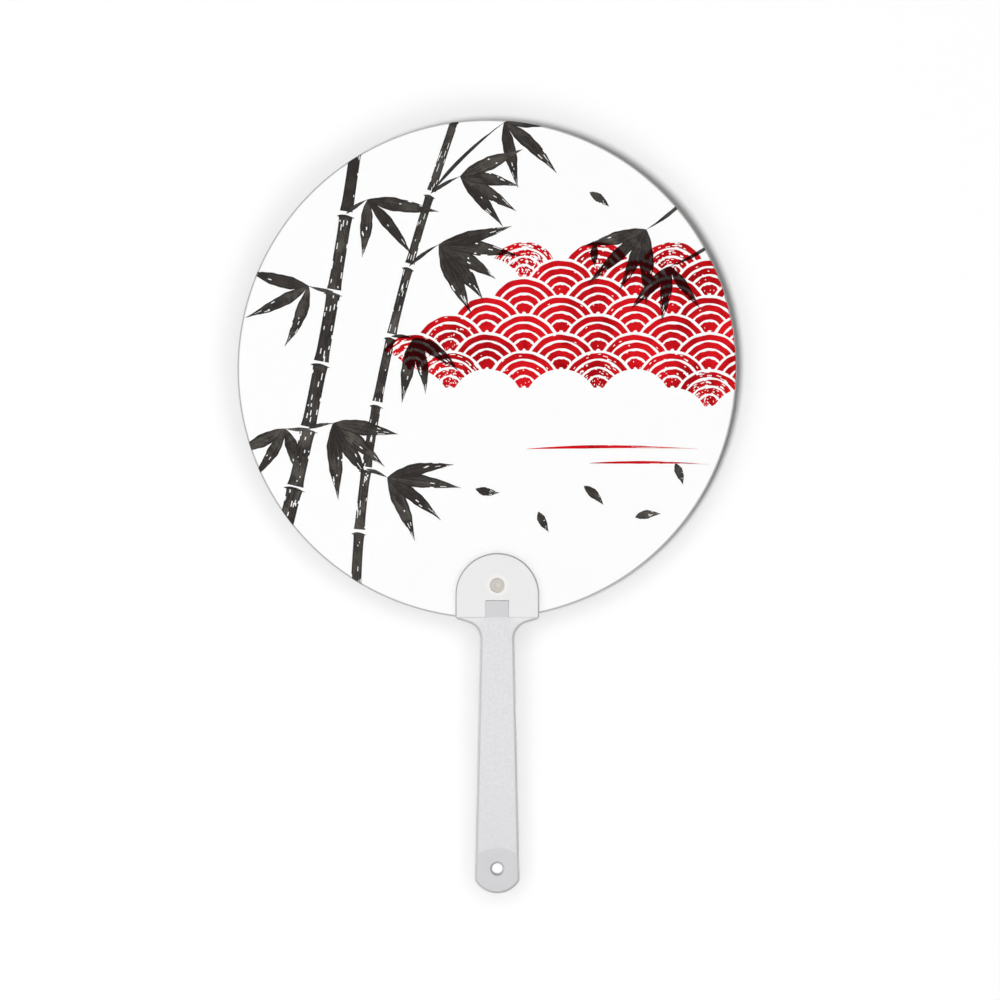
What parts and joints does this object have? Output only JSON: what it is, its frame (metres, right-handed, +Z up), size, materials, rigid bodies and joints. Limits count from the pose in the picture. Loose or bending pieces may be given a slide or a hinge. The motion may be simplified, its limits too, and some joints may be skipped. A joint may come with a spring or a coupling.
{
  "type": "round hand fan",
  "caption": "Round printed board fan clamped in a tapered moulded handle, with a pull-off clamp cap, a pin, an anti-turn key and a hang hole.",
  "frame": {"origin": "middle of the hand's hold on the grip, on the handle's axis and in the blade's middle plane", "axes": "+Z up the handle towards the blade, +X to the right seen from the front, +Y to the back; the clamp cap is on the front, at -Y"},
  "size_m": [0.175, 0.005, 0.2712],
  "materials": {
    "handle_plastic": "fine moulded grain, milky white",
    "cap_plastic": "satin, milky white",
    "pin_plastic": "satin, natural beige",
    "board": "cut edge, white",
    "front_print": "coated white sheet with a printed pattern",
    "rear_print": "coated white sheet with a printed pattern"
  },
  "bodies": {
    "fan": {"handle_body": "handle_plastic", "blade_pin": "pin_plastic", "blade_core": "board", "front_print_sheet": "front_print", "rear_print_sheet": "rear_print"},
    "cap": {"clamp_cap": "cap_plastic"}
  },
  "joints": [
    {"name": "cap_pull", "type": "slide", "parent": "fan", "child": "cap", "axis": [0, -1, 0], "range_m": [0, 0.012]}
  ]
}
